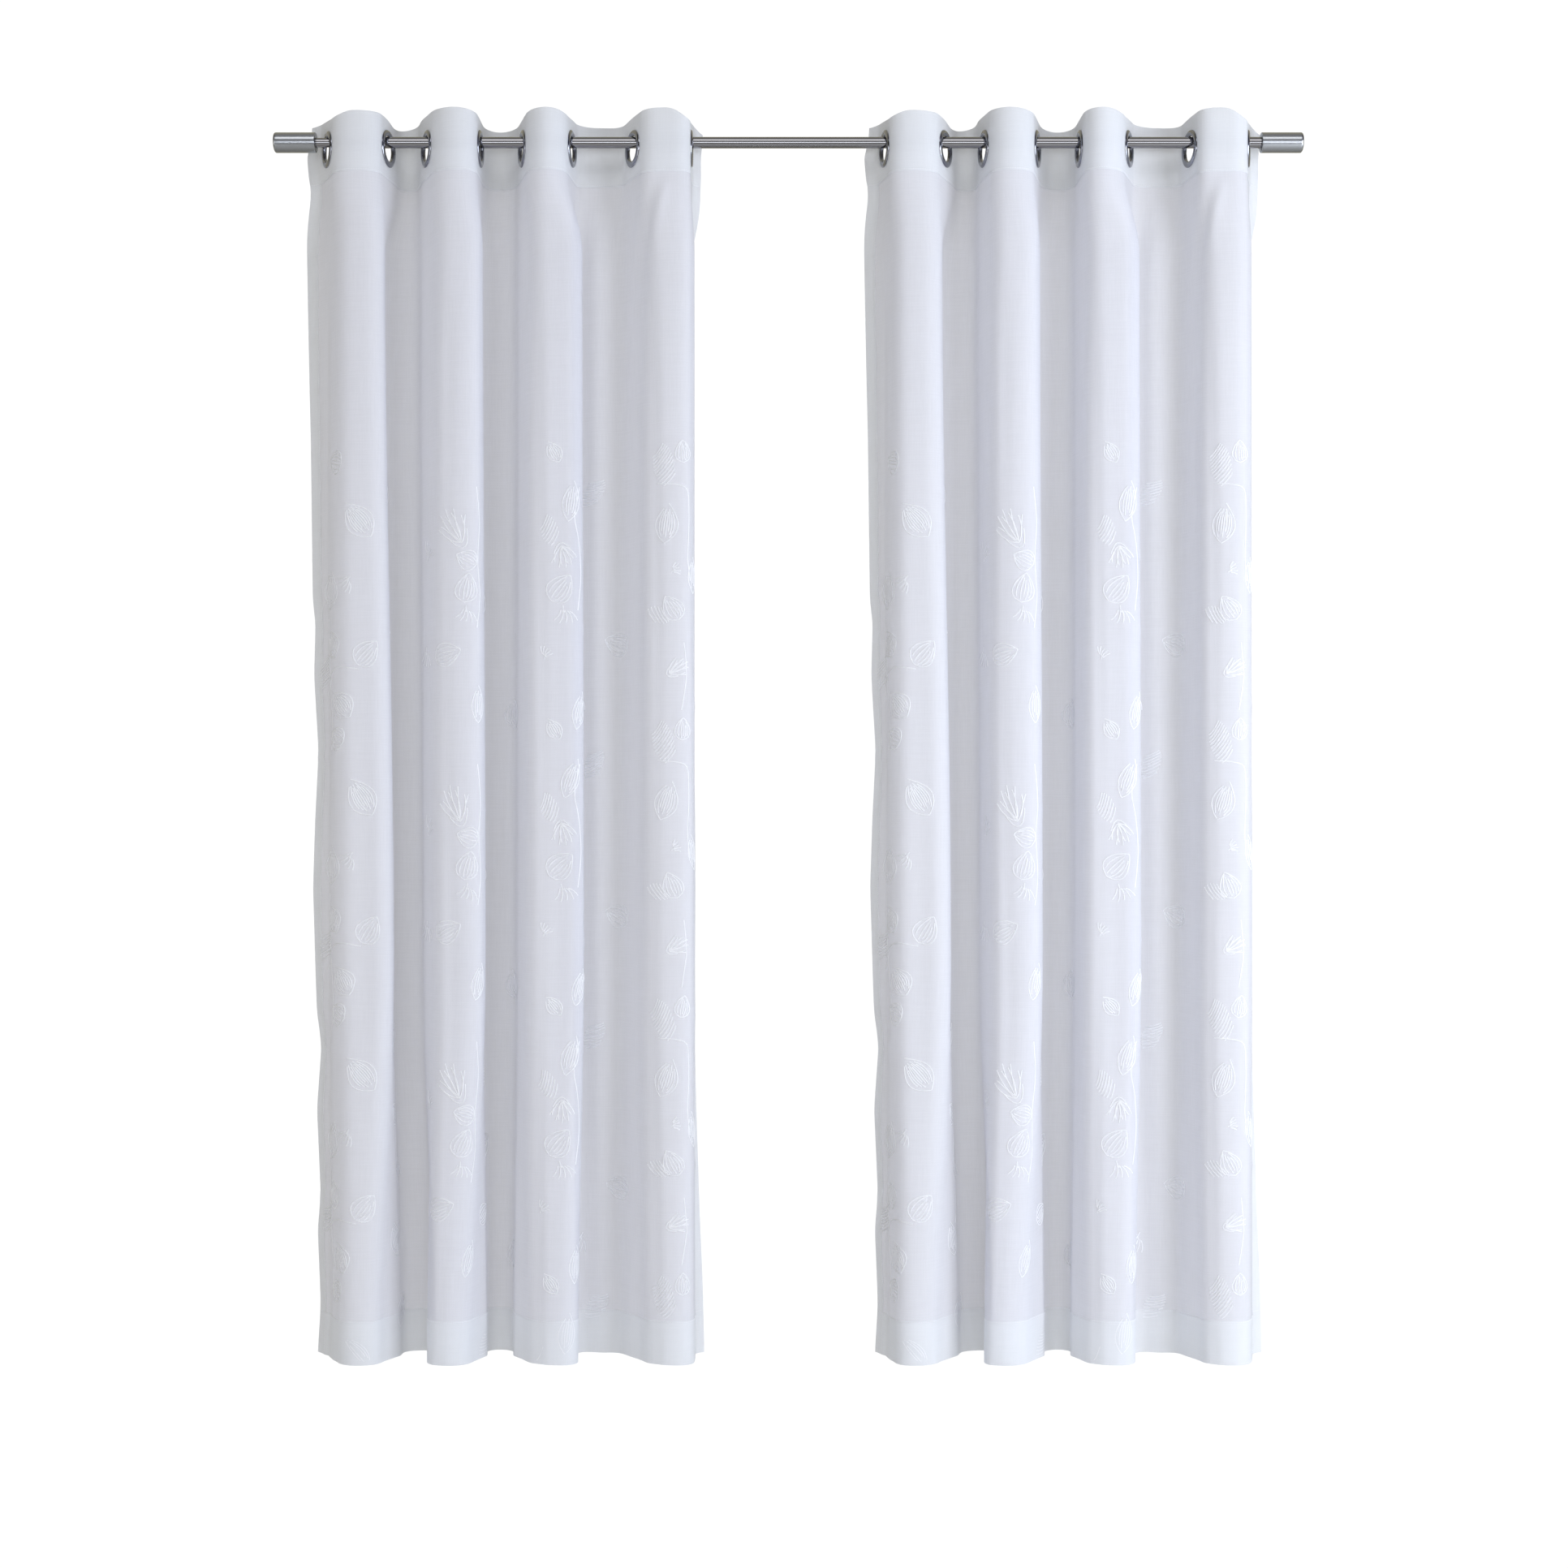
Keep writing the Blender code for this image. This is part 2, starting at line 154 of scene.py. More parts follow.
# How far the side hems draw the edges in, where their seam is tight: mm down, mm to the right.
EDGE_PULL_REACH = 75  # mm in from the edge
EdgePull = namedtuple("EdgePull", "down left right")
EDGE_PULLS = (
    EdgePull(0, 0.0, 6.0),
    EdgePull(25, -2.0, 5.0),
    EdgePull(52, -9.0, 3.0),
    EdgePull(88, -6.0, 3.0),
    EdgePull(115, -1.5, 2.0),
    EdgePull(150, -2.5, 2.0),
    EdgePull(213, -3.0, 0.0),
    EdgePull(549, 2.5, -1.0),
    EdgePull(828, 3.5, 0.0),
    EdgePull(858, 8.0, 1.0),
    EdgePull(954, 4.5, 0.5),
    EdgePull(1087, 11.0, 1.0),
    EdgePull(1210, 4.0, 2.0),
    EdgePull(1325, 0.0, 2.0),
    EdgePull(1542, 6.0, 0.5),
    EdgePull(1597, 13.5, -2.0),
    EdgePull(1709, 3.5, -4.0),
    EdgePull(1860, 7.0, -6.0),
    EdgePull(1919, 0.5, -6.0),
    EdgePull(2052, 4.0, -4.5),
    EdgePull(2134, -1.5, -3.5),
)

# The top edge isn't level, because the cloth is stiff round each eyelet and soft between: mm
# across, and mm that it stands higher there.
TOP_LIFTS = (
    (0, -2), (10, 3), (22, 3.5), (43, 0), (67, -3.7), (86, -7.5), (98, -8), (108, -6), (118, -3),
    (128, 0), (171, -0.8), (219, -0.5), (237, -3.6), (250, -7.5), (266, -4), (286, 0), (300, 3.5),
    (316, 7), (341, 8.7), (365, 8.7), (383, 6.8), (407, 5), (426, 3), (468, 3.5), (490, 2),
    (511, -1.5), (541, 0.5), (596, 1), (632, -1), (674, 0.6), (729, 0), (753, -0.8), (784, 1.8),
    (808, 1.8), (820, 0), (838, -3.6), (856, -3), (893, 2), (917, 5), (936, 3.5), (954, 0.8),
    (996, 0), (1020, 2.4), (1051, 3.8), (1081, 3), (1100, 5), (1124, 5.5), (1138, 5), (1147, 1),
    (1156, -6), (1166, -12), (1178, -15), (1195, -10), (1212, -5.5), (1227, -3.5), (1240, -1),
    (1252, 0.5), (1262, -4), (1270, -12),
)
TOP_BAND = 27.0  # mm; the lifts are gone by this far down, above the punched holes

# Puckers: a sewn hem is a little shorter than the cloth that it is sewn to. mm high, and mm from
# the seam by which they are mostly gone.
HEM_PUCKER, HEM_PUCKER_REACH = 0.35, 16
SIDE_PUCKER, SIDE_PUCKER_REACH = 0.45, 15


def at_height(values, height):
    """A table row's four station values, eased from one station to the next."""
    if height >= STATIONS[0]:
        return values[0]
    for i in range(len(STATIONS) - 1):
        if height >= STATIONS[i + 1] or i == len(STATIONS) - 2:
            share = min(1.0, (STATIONS[i] - height) / (STATIONS[i] - STATIONS[i + 1]))
            ease = share * share * (3 - 2 * share)
            return values[i] + (values[i + 1] - values[i]) * ease


def line_at(index, height):
    """Where an eyelet's line is at this height, and the cloth's signed turn there in radians."""
    line = FOLD_LINES[index]
    turns = (line.turn_head, line.turn_upper, line.turn_lower, line.turn_hem)
    shifts = (0.0, line.shift_upper, line.shift_lower, line.shift_hem)
    turn = math.radians(at_height(turns, height)) * (-1 if index % 2 == 0 else 1)
    return np.array((line.x + at_height(shifts, height), 0.0)), turn


def direction(turn):
    return np.array((math.cos(turn), math.sin(turn)))


def fold_curve(start, turn_from, end, turn_to, length, crest):
    """One fold between two flat stretches, as a bent strip of this length takes it."""
    t = (np.arange(CURVE_SAMPLES) + 0.5) / CURVE_SAMPLES
    flatter = math.copysign(crest, turn_from) * np.sin(4 * math.pi * t)
    waves = np.stack((np.sin(math.pi * t), np.sin(2 * math.pi * t)))
    sizes = np.zeros(2)
    step = length / CURVE_SAMPLES
    for _ in range(12):
        turns = turn_from + (turn_to - turn_from) * t + flatter + sizes @ waves
        steps = step * np.stack((np.cos(turns), np.sin(turns)), axis=1)
        slope = step * np.stack((-np.sin(turns), np.cos(turns))) @ waves.T
        sizes += np.linalg.solve(slope, end - start - steps.sum(axis=0))
    return np.concatenate((start[None, :], start + np.cumsum(steps, axis=0)))


def edge_curve(start, turn_from, turn_to, side, length):
    """The stretch from the last flat cloth out to a side edge, turning as it goes."""
    turns = np.linspace(turn_from, turn_to, CURVE_SAMPLES)
    steps = np.stack((side * np.cos(turns), np.sin(turns)), axis=1) * length / CURVE_SAMPLES
    return np.concatenate((start[None, :], start + np.cumsum(steps, axis=0)))


def plan_at(height):
    """The cloth's line in plan at this height, at each of COLUMNS."""
    share = at_height(FREED, height)
    flat = FLAT_AT_EYELET + (FLAT_BELOW - FLAT_AT_EYELET) * share
    lines = [line_at(i, height) for i in range(EYELETS)]
    starts = [centre - flat * direction(turn) for centre, turn in lines]
    ends = [centre + flat * direction(turn) for centre, turn in lines]
    turns = [turn for _, turn in lines]
    left_turn, right_turn = (math.radians(at_height(e, height)) for e in (LEFT_EDGE, RIGHT_EDGE))
    stretches = [edge_curve(starts[0], -turns[0], left_turn, -1, EDGE_TO_LINE - flat)[::-1]]
    for i in range(EYELETS - 1):
        stretches.append(fold_curve(
            ends[i], turns[i], starts[i + 1], turns[i + 1], LINE_PITCH - 2 * flat,
            share * (FLAT_CREST if i % 2 == 0 else FLAT_VALLEY),
        ))
    stretches.append(edge_curve(ends[-1], turns[-1], right_turn, 1, EDGE_TO_LINE - flat))
    plan = np.concatenate(stretches)
    along = np.concatenate(((0.0,), np.cumsum(np.linalg.norm(np.diff(plan, axis=0), axis=1))))
    along *= PANEL_WIDTH / along[-1]
    return np.stack([np.interp(COLUMNS, along, plan[:, axis]) for axis in (0, 1)], axis=1)


def eased(share):
    share = np.clip(share, 0.0, 1.0)
    return share * share * (3 - 2 * share)


def relief(across, down):
    """How proud of its plain folds the cloth stands, from its flutes, creases and hem puckers."""
    proud = np.zeros(np.broadcast(across, down).shape)
    for flute in FLUTES:
        middle = flute.across + flute.sway * down / 2134 + 3.0 * np.sin(down / 210 + flute.across)
        unevenness = 0.8 + 0.2 * np.sin(down / 170 + flute.across)
        strength = eased((down - flute.begins) / FLUTE_RUN_IN) * unevenness
        proud += flute.proud * strength * np.exp(-(((across - middle) / flute.half_width) ** 2))
    for crease in CREASES:
        cos, sin = (f(math.radians(crease.tilt)) for f in (math.cos, math.sin))
        along = ((across - crease.across) * cos + (down - crease.down) * sin) / crease.half_length
        aside = (down - crease.down) * cos - (across - crease.across) * sin + 3.0 * along ** 2
        proud += crease.proud * np.exp(-(along ** 2) - (aside / crease.half_width) ** 2)
    hem_down = (PANEL_TOP_EDGE - HEM_SEAM) * 1000
    along_hem = np.sin(across / 5.1 + 1.7 * np.sin(across / 37)) + 0.6 * np.sin(across / 11.3)
    proud += HEM_PUCKER * along_hem * np.exp(-(((down - hem_down) / HEM_PUCKER_REACH) ** 2))
    for seam in (SIDE_HEM * 1000, (PANEL_WIDTH - SIDE_HEM) * 1000):
        along_side = np.sin(down / 6.7 + 2.1 * np.sin(down / 53)) + 0.7 * np.sin(down / 17 + seam)
        below = eased((down - 120) / 80)
        fading = np.exp(-(((across - seam) / SIDE_PUCKER_REACH) ** 2))
        proud += SIDE_PUCKER * below * along_side * fading
    return proud / 1000


def cloth_normals(points):
    crosswise = np.gradient(points, axis=1)
    downwards = np.gradient(points, axis=0)
    normals = np.cross(downwards, crosswise)
    return normals / np.linalg.norm(normals, axis=2, keepdims=True)


plans = np.stack([plan_at(height) for height in ROWS])
across_mm = COLUMNS[None, :] * 1000
down_mm = (PANEL_TOP_EDGE - ROWS[:, None]) * 1000
pull_downs = [pull.down for pull in EDGE_PULLS]
left_pull, right_pull = (
    np.interp(down_mm, pull_downs, [getattr(pull, name) for pull in EDGE_PULLS]) / 1000
    for name in ("left", "right")
)
smoother = np.array((1, 2, 3, 2, 1)) / 9
left_pull, right_pull = (
    np.convolve(np.pad(pull[:, 0], 2, mode="edge"), smoother, mode="valid")[:, None]
    for pull in (left_pull, right_pull)
)
pulls = left_pull * (1 - eased(across_mm / EDGE_PULL_REACH)) + right_pull * (
    1 - eased((PANEL_WIDTH * 1000 - across_mm) / EDGE_PULL_REACH)
)
RELIEF_RUN_IN = 40  # mm; the stiff heading holds the cloth even down to here below it
below_heading = eased((down_mm - HEADING_DEPTH * 1000) / RELIEF_RUN_IN)
lifts = np.interp(across_mm[0], *zip(*TOP_LIFTS)) / 1000
lifts = np.convolve(np.pad(lifts, 2, mode="edge"), smoother, mode="valid")
lifts = lifts * eased((TOP_BAND - down_mm) / TOP_BAND)

hung = {}  # for each curtain, the points of its cloth by row and column, and their normals
for side, centre_x in PANEL_CENTRES.items():
    points = np.empty((len(ROWS), len(COLUMNS), 3))
    lean = math.copysign(LEAN, centre_x)
    points[..., 0] = centre_x + plans[..., 0] + lean * plans[..., 1] + pulls
    points[..., 1] = plans[..., 1]
    points[..., 2] = ROWS[:, None] + lifts
    points += cloth_normals(points) * (relief(across_mm, down_mm) * below_heading)[..., None]
    hung[side] = points, cloth_normals(points)


def on_cloth(side, across, heights, proud=0.0):
    """Points on a hung curtain at these distances across its cloth and these heights."""
    column = np.interp(across, COLUMNS, np.arange(len(COLUMNS)))
    row = np.interp(-np.asarray(heights), -ROWS, np.arange(len(ROWS)))
    left = np.minimum(column.astype(int), len(COLUMNS) - 2)
    upper = np.minimum(row.astype(int), len(ROWS) - 2)
    across_share, down_share = (column - left)[:, None], (row - upper)[:, None]

    def between(grid):
        top = grid[upper, left] * (1 - across_share) + grid[upper, left + 1] * across_share
        low = grid[upper + 1, left] * (1 - across_share) + grid[upper + 1, left + 1] * across_share
        return top * (1 - down_share) + low * down_share

    points, normals = hung[side]
    return between(points) + proud * between(normals)


def flat_cloth(rows):
    """A flat grid of cloth: X is the distance across it from its left edge, and Y the height."""
    bm = bmesh.new()
    bmesh.ops.create_grid(bm, x_segments=len(COLUMNS) - 1, y_segments=len(rows) - 1, size=0.5)
    for vert in bm.verts:
        column = round((vert.co.x + 0.5) * (len(COLUMNS) - 1))
        row = round((0.5 - vert.co.y) * (len(rows) - 1))
        vert.co = (COLUMNS[column], rows[row], 0.0)
    return bm


def in_hem(across, height):
    on_seam = 0.001  # a point as near as this to the seam belongs to the hem
    return min(across, PANEL_WIDTH - across) < SIDE_HEM + on_seam or height < HEM_SEAM + on_seam


def hang_cloth(bm, name, side, materials):
    """Maps the flat cloth in metres, moves it to its folds and gives it its thickness."""
    bm.verts.index_update()
    weave_map = bm.loops.layers.uv.new("weave")
    for face in bm.faces:
        for loop in face.loops:
            loop[weave_map].uv = (loop.vert.co.x, loop.vert.co.y)
        middle = face.calc_center_median()
        if len(materials) > 1 and in_hem(middle.x, middle.y):
            face.material_index = 1
    for edge in bm.edges:
        edge.smooth = not edge.is_boundary  # the cut edges stay crisp
    doubled = [
        vert.index for vert in bm.verts if len(materials) == 1 or in_hem(vert.co.x, vert.co.y)
    ]
    spots = on_cloth(side, [v.co.x for v in bm.verts], [v.co.y for v in bm.verts])
    for vert, spot in zip(bm.verts, spots):
        vert.co = spot
    mesh = bpy.data.meshes.new(name)
    bm.to_mesh(mesh)
    bm.free()
    mesh.shade_smooth()
    cloth = bpy.data.objects.new(name, mesh)
    bpy.context.scene.collection.objects.link(cloth)
    for material in materials:
        mesh.materials.append(material)
    layers = cloth.vertex_groups.new(name="two layers")
    layers.add(doubled, 1.0, "REPLACE")
    thickness = cloth.modifiers.new("Thickness", "SOLIDIFY")
    thickness.thickness = DOUBLED
    thickness.offset = 0.0
    thickness.vertex_group = layers.name
    thickness.thickness_vertex_group = VOILE / DOUBLED
    return cloth


def srgb(hex_code):
    """An sRGB hex colour as linear RGBA."""
    levels = (int(hex_code[i:i + 2], 16) / 255 for i in (1, 3, 5))
    return (*(c / 12.92 if c <= 0.04045 else ((c + 0.055) / 1.055) ** 2.4 for c in levels), 1.0)


def new_material(name):
    """A material that has no nodes yet."""
    material = bpy.data.materials.new(name)
    material.use_nodes = True
    material.node_tree.nodes.clear()
    return material


def add_node(material, kind, inputs=(), **settings):
    """Adds a node. settings are its own, and an input is given its value or linked to a socket."""
    node = material.node_tree.nodes.new(kind)
    for name, value in settings.items():
        setattr(node, name, value)
    for name, value in dict(inputs).items():
        if isinstance(value, bpy.types.NodeSocket):
            material.node_tree.links.new(value, node.inputs[name])
        else:
            node.inputs[name].default_value = value
    return node


DRAWN_WEAVE = 0.0012  # from one yarn to the next


def white_voile(name, colour, thin_colour, through, gaps):
    """Woven voile, in thin_colour where its yarns are thin. through is the share of light that
    passes its yarns, and gaps the share that passes between them.

    Yarns lie 0.45 mm apart, too fine to show from the room, so the weave is drawn coarser.
    Thick places in the yarns, called slubs, are streaks 2 mm wide and about 50 mm long.
    """
    voile = new_material(name)
    metres = add_node(voile, "ShaderNodeUVMap", uv_map="weave").outputs["UV"]
    streaks = []
    for size in ((1 / 0.0022, 1 / 0.045, 1.0), (1 / 0.055, 1 / 0.0020, 1.0)):
        stretched = add_node(voile, "ShaderNodeMapping", {"Vector": metres, "Scale": size})
        streaks.append(add_node(
            voile, "ShaderNodeTexNoise",
            {"Vector": stretched.outputs["Vector"], "Scale": 1.0, "Detail": 2.0, "Roughness": 0.55},
            noise_dimensions="2D",
        ).outputs["Fac"])
    slubs = add_node(voile, "ShaderNodeMath", {0: streaks[0], 1: streaks[1]}, operation="ADD")
    yarns = [
        add_node(
            voile, "ShaderNodeTexWave",
            {"Vector": metres, "Scale": math.tau / (20 * DRAWN_WEAVE), "Distortion": 1.2,
             "Detail": 1.0, "Detail Scale": 0.6},
            wave_type="BANDS", bands_direction=way,
        ).outputs["Fac"]
        for way in ("X", "Y")
    ]
    weave = add_node(voile, "ShaderNodeMath", {0: yarns[0], 1: yarns[1]}, operation="MULTIPLY")
    height = add_node(
        voile, "ShaderNodeMath",
        {0: weave.outputs[0], 1: 0.35, 2: slubs.outputs[0]}, operation="MULTIPLY_ADD",
    )
    bump = add_node(
        voile, "ShaderNodeBump",
        {"Height": height.outputs[0], "Strength": 0.07, "Distance": 0.0003},
    ).outputs["Normal"]
    # Slubs are denser, so they pass less light and read a touch whiter.
    tone = add_node(
        voile, "ShaderNodeMapRange",
        {"Value": slubs.outputs[0], "From Min": 0.7, "From Max": 1.3},
    )
    yarn_white = add_node(  # inputs 6 and 7 and output 2 are the colour ones
        voile, "ShaderNodeMix", {0: tone.outputs[0], 6: srgb(thin_colour), 7: srgb(colour)},
        data_type="RGBA",
    ).outputs[2]
    face = add_node(
        voile, "ShaderNodeBsdfPrincipled",
        {"Base Color": yarn_white, "Roughness": 0.85, "Specular IOR Level": 0.25,
         "Sheen Weight": 0.15, "Sheen Roughness": 0.5, "Normal": bump},
    )
    glow = add_node(voile, "ShaderNodeBsdfTranslucent", {"Color": yarn_white, "Normal": bump})
    body = add_node(
        voile, "ShaderNodeMixShader",
        {"Fac": through, 1: face.outputs[0], 2: glow.outputs[0]},
    )
    gap = add_node(
        voile, "ShaderNodeMapRange",
        {"Value": slubs.outputs[0], "From Min": 0.7, "From Max": 1.3,
         "To Min": gaps * 1.03, "To Max": gaps * 0.97},
    )
    clear = add_node(voile, "ShaderNodeBsdfTransparent")
    sheer = add_node(
        voile, "ShaderNodeMixShader",
        {"Fac": gap.outputs[0], 1: body.outputs[0], 2: clear.outputs[0]},
    )
    add_node(voile, "ShaderNodeOutputMaterial", {"Surface": sheer.outputs[0]})
    return voile


single_voile = white_voile("Sheer voile, one layer", "#F1F2F9", "#EFF0F7", 0.42, 0.27)
doubled_voile = white_voile("Sheer voile, two layers", "#F7F9FE", "#F5F7FC", 0.44, 0.13)

panels = {}
for side in PANEL_CENTRES:
    bm = flat_cloth(PANEL_ROWS)
    panels[side] = hang_cloth(bm, f"{side}_voile_panel", side, [single_voile, doubled_voile])
    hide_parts(f"{side}_panel")
    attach(panels[side], "curtains_and_outer_rod")

# ---- Headings -----------------------------------------------------------------------------------
# The top 103 mm of the same length, turned down to the back and sewn, so it is two layers of voile
# and whiter. A hole is punched at each eyelet, where the cloth is flat.
EYELET_HOLE = 0.042
EYELET_FLANGE = 0.063
PUNCHED_HOLE = 0.0476
CUT_REACH = 0.031  # points of the cut edge lie within this of the hole's middle
OUTER_TUBE = 0.01905
INNER_TUBE = 0.0159
JUNCTION_X = -0.735  # the thinner tube runs from here to the left
RING_SEGMENTS = 16  # the sides of the ring that hangs on the tube


def ring_height(index, centre_x):
    """A ring hangs on the tube that runs through it: the thinner one at the far left."""
    tube = INNER_TUBE if centre_x + FOLD_LINES[index].x < JUNCTION_X else OUTER_TUBE
    return -(EYELET_HOLE / 2 * math.cos(math.pi / RING_SEGMENTS) - tube / 2 - CLEARANCE)


headings = {}
for side, centre_x in PANEL_CENTRES.items():
    bm = flat_cloth(HEADING_ROWS)
    for index in range(EYELETS):
        hole = Vector((EDGE_TO_LINE + index * LINE_PITCH, ring_height(index, centre_x), 0.0))
        inside = [v for v in bm.verts if (v.co - hole).length < PUNCHED_HOLE / 2 - 0.0005]
        bmesh.ops.delete(bm, geom=inside, context="VERTS")
        rim = {
            v for e in bm.edges if e.is_boundary for v in e.verts
            if (v.co - hole).length < CUT_REACH
        }
        for vert in rim:
            vert.co = hole + (vert.co - hole).normalized() * PUNCHED_HOLE / 2
    headings[side] = hang_cloth(bm, f"{side}_voile_heading", side, [doubled_voile])
    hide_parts(f"{side}_heading")
    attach(headings[side], "curtains_and_outer_rod")

# ---- Eyelets ------------------------------------------------------------------------------------
# Eight a curtain. Each is two pressed steel halves with a rolled flange, clinched through the
# heading and plated in dark polished nickel, so it mirrors the room in narrow bright lines.
EYELET_HALF = 0.004  # from the cloth to one face
RING_STEPS = 72

dark_nickel = new_material("Dark polished nickel plate")
plated = add_node(
    dark_nickel, "ShaderNodeTexNoise",
    {"Vector": add_node(dark_nickel, "ShaderNodeTexCoord").outputs["Object"], "Scale": 90.0,
     "Detail": 3.0},
)
plate_gloss = add_node(
    dark_nickel, "ShaderNodeMapRange",
    {"Value": plated.outputs["Fac"], "To Min": 0.10, "To Max": 0.20},
)
dark_plate = add_node(
    dark_nickel, "ShaderNodeBsdfPrincipled",
    {"Base Color": srgb("#989AA3"), "Metallic": 1.0, "Roughness": plate_gloss.outputs[0]},
)
add_node(dark_nickel, "ShaderNodeOutputMaterial", {"Surface": dark_plate.outputs[0]})


def spun(profile, closed, steps):
    """Spins a profile of (distance along X, radius) all round the X axis."""
    bm = bmesh.new()
    verts = [bm.verts.new((along, 0.0, radius)) for along, radius in profile]
    edges = [bm.edges.new(pair) for pair in zip(verts, verts[1:])]
    if closed:
        edges.append(bm.edges.new((verts[-1], verts[0])))
    bmesh.ops.spin(
        bm, geom=verts + edges, cent=(0, 0, 0), axis=(1, 0, 0), angle=math.tau, steps=steps,
        use_merge=True,
    )
    bmesh.ops.remove_doubles(bm, verts=bm.verts, dist=0.00001)
    bmesh.ops.recalc_face_normals(bm, faces=bm.faces)
    return bm


def metal_piece(name, bm, material, crisp=35):
    mesh = bpy.data.meshes.new(name)
    bm.to_mesh(mesh)
    bm.free()
    mesh.shade_smooth()
    mesh.set_sharp_from_angle(angle=math.radians(crisp))
    mesh.materials.append(material)
    piece = bpy.data.objects.new(name, mesh)
    bpy.context.scene.collection.objects.link(piece)
    return piece


hole, rim, half = EYELET_HOLE / 2, EYELET_FLANGE / 2, EYELET_HALF
rolled = [  # one face's flange, from the middle of the barrel out to the rim
    (0.0, hole), (0.0010, hole), (0.0018, hole + 0.0002), (0.0026, hole + 0.0008),
    (0.0033, hole + 0.0018), (0.0038, hole + 0.0031), (half, hole + 0.0046),
    (0.0039, hole + 0.0062), (0.0036, hole + 0.0076), (0.0031, hole + 0.0088),
    (0.0024, hole + 0.0097), (0.0017, hole + 0.0102), (0.0011, rim - 0.0001),
    (0.0008, rim - 0.0005), (0.0008, hole + 0.0034),
]
eyelets = {side: [] for side in PANEL_CENTRES}
for side, centre_x in PANEL_CENTRES.items():
    lean = math.copysign(LEAN, centre_x)
    for index in range(EYELETS):
        bm = spun(rolled + [(-along, radius) for along, radius in rolled[:0:-1]], True, RING_STEPS)
        spot, turn = line_at(index, PANEL_TOP)
        turn = math.atan2(math.sin(turn), math.cos(turn) + lean * math.sin(turn)) + math.pi / 2
        place = Matrix.Translation((centre_x + spot[0], 0.0, ring_height(index, centre_x)))
        bm.transform(place @ Matrix.Rotation(turn, 4, "Z"))
        eyelet = metal_piece(f"{side}_ring_{index + 1}", bm, dark_nickel)
        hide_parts(f"{side}_eyelet_{index + 1}")
        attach(eyelet, "curtains_and_outer_rod")
        eyelets[side].append(eyelet)

# ---- Embroidery ---------------------------------------------------------------------------------
# White viscose thread worked in open line stitch on the front folds: veined leaves, round buds,
# open flowers and sprigs on thin stems, in one upright trail to each fold, every 472 mm down.
STROKE, STROKE_HEIGHT = 0.0021, 0.0012  # a worked line: strands side by side, flat on the cloth
STROKE_STEP = 6.0  # mm from one point of it to the next
LINE_GAP = 5.5  # mm from one line of a leaf to the next
REPEAT = 472  # mm down
TRAILS_BEGIN, TRAILS_END = 552, 2128  # mm down
MOTIF_SWAY = 7  # degrees that a motif may turn from one repeat to another
STEM_SMOOTHINGS = 14

# kind, mm across and down to its middle, mm long and wide, and degrees that its tip is turned
# clockwise from straight up. The first four trails are on the front folds, the rest behind.
Motif = namedtuple("Motif", "kind across down length width tilt")
TRAILS = (
    Motif("leaf", 134, 696, 72, 48, -38), Motif("bud", 146, 922, 52, 42, 38),
    Motif("leaf", 98, 1010, 54, 46, -32), Motif("bud", 86, 1066, 36, 40, -70),
    Motif("leaf", 66, 812, 66, 52, 12), Motif("comb", 36, 955, 46, 40, 4),
    Motif("sprig", 112, 806, 34, 26, 200), Motif("leaf", 72, 905, 50, 44, -24),
    Motif("flower", 462, 712, 76, 54, -24), Motif("bud", 482, 764, 38, 36, -70),
    Motif("bud", 482, 812, 50, 38, 16), Motif("sprig", 485, 860, 36, 30, 165),
    Motif("bud", 447, 924, 50, 40, 70), Motif("leaf", 502, 1010, 64, 24, 8),
    Motif("sprig", 392, 742, 40, 34, 8), Motif("sprig", 388, 930, 44, 40, 170),
    Motif("leaf", 822, 664, 70, 30, 14), Motif("comb", 786, 716, 40, 34, -42),
    Motif("flower", 808, 756, 46, 44, 172), Motif("bud", 804, 812, 54, 44, 40),
    Motif("sprig", 816, 860, 40, 32, 150), Motif("sprig", 776, 920, 26, 18, 10),
    Motif("leaf", 838, 1020, 66, 26, 10), Motif("leaf", 792, 1052, 40, 26, -34),
    Motif("leaf", 1122, 702, 68, 40, 14), Motif("comb", 1118, 606, 60, 40, -28),
    Motif("sprig", 1138, 778, 22, 20, 48), Motif("bud", 1132, 846, 46, 36, -28),
    Motif("comb", 1104, 858, 30, 32, 80), Motif("flower", 1140, 950, 44, 34, 62),
    Motif("bud", 1150, 1052, 38, 28, 4), Motif("leaf", 1172, 790, 62, 24, -6),
    Motif("leaf", 258, 640, 60, 38, 30), Motif("bud", 236, 768, 44, 36, -40),
    Motif("sprig", 262, 868, 40, 30, 170), Motif("leaf", 232, 985, 62, 34, -18),
    Motif("comb", 566, 700, 46, 36, 20), Motif("leaf", 592, 836, 64, 36, -150),
    Motif("bud", 560, 940, 44, 38, 60), Motif("leaf", 668, 1020, 52, 44, -12),
    Motif("leaf", 880, 760, 64, 40, 150), Motif("bud", 1000, 900, 46, 40, -70),
    Motif("comb", 958, 640, 44, 34, 12), Motif("sprig", 930, 1000, 40, 30, 190),
)
# Thin stems, as points in mm across and down.
STEMS = (
    ((46, 992), (52, 970), (68, 952), (94, 944), (132, 950)),
    ((56, 860), (50, 900), (60, 960), (74, 1040), (70, 1086)),
    ((500, 640), (507, 700), (501, 760), (507, 830), (500, 880)),
    ((838, 640), (826, 690), (836, 730), (842, 790), (834, 850)),
    ((1106, 634), (1140, 636), (1160, 642), (1162, 700), (1158, 760), (1164, 800)),
    ((1152, 905), (1158, 960), (1148, 1020)),
    ((244, 690), (252, 760), (240, 840), (256, 920), (246, 960)),
    ((890, 800), (896, 850), (916, 930), (924, 980)),
)


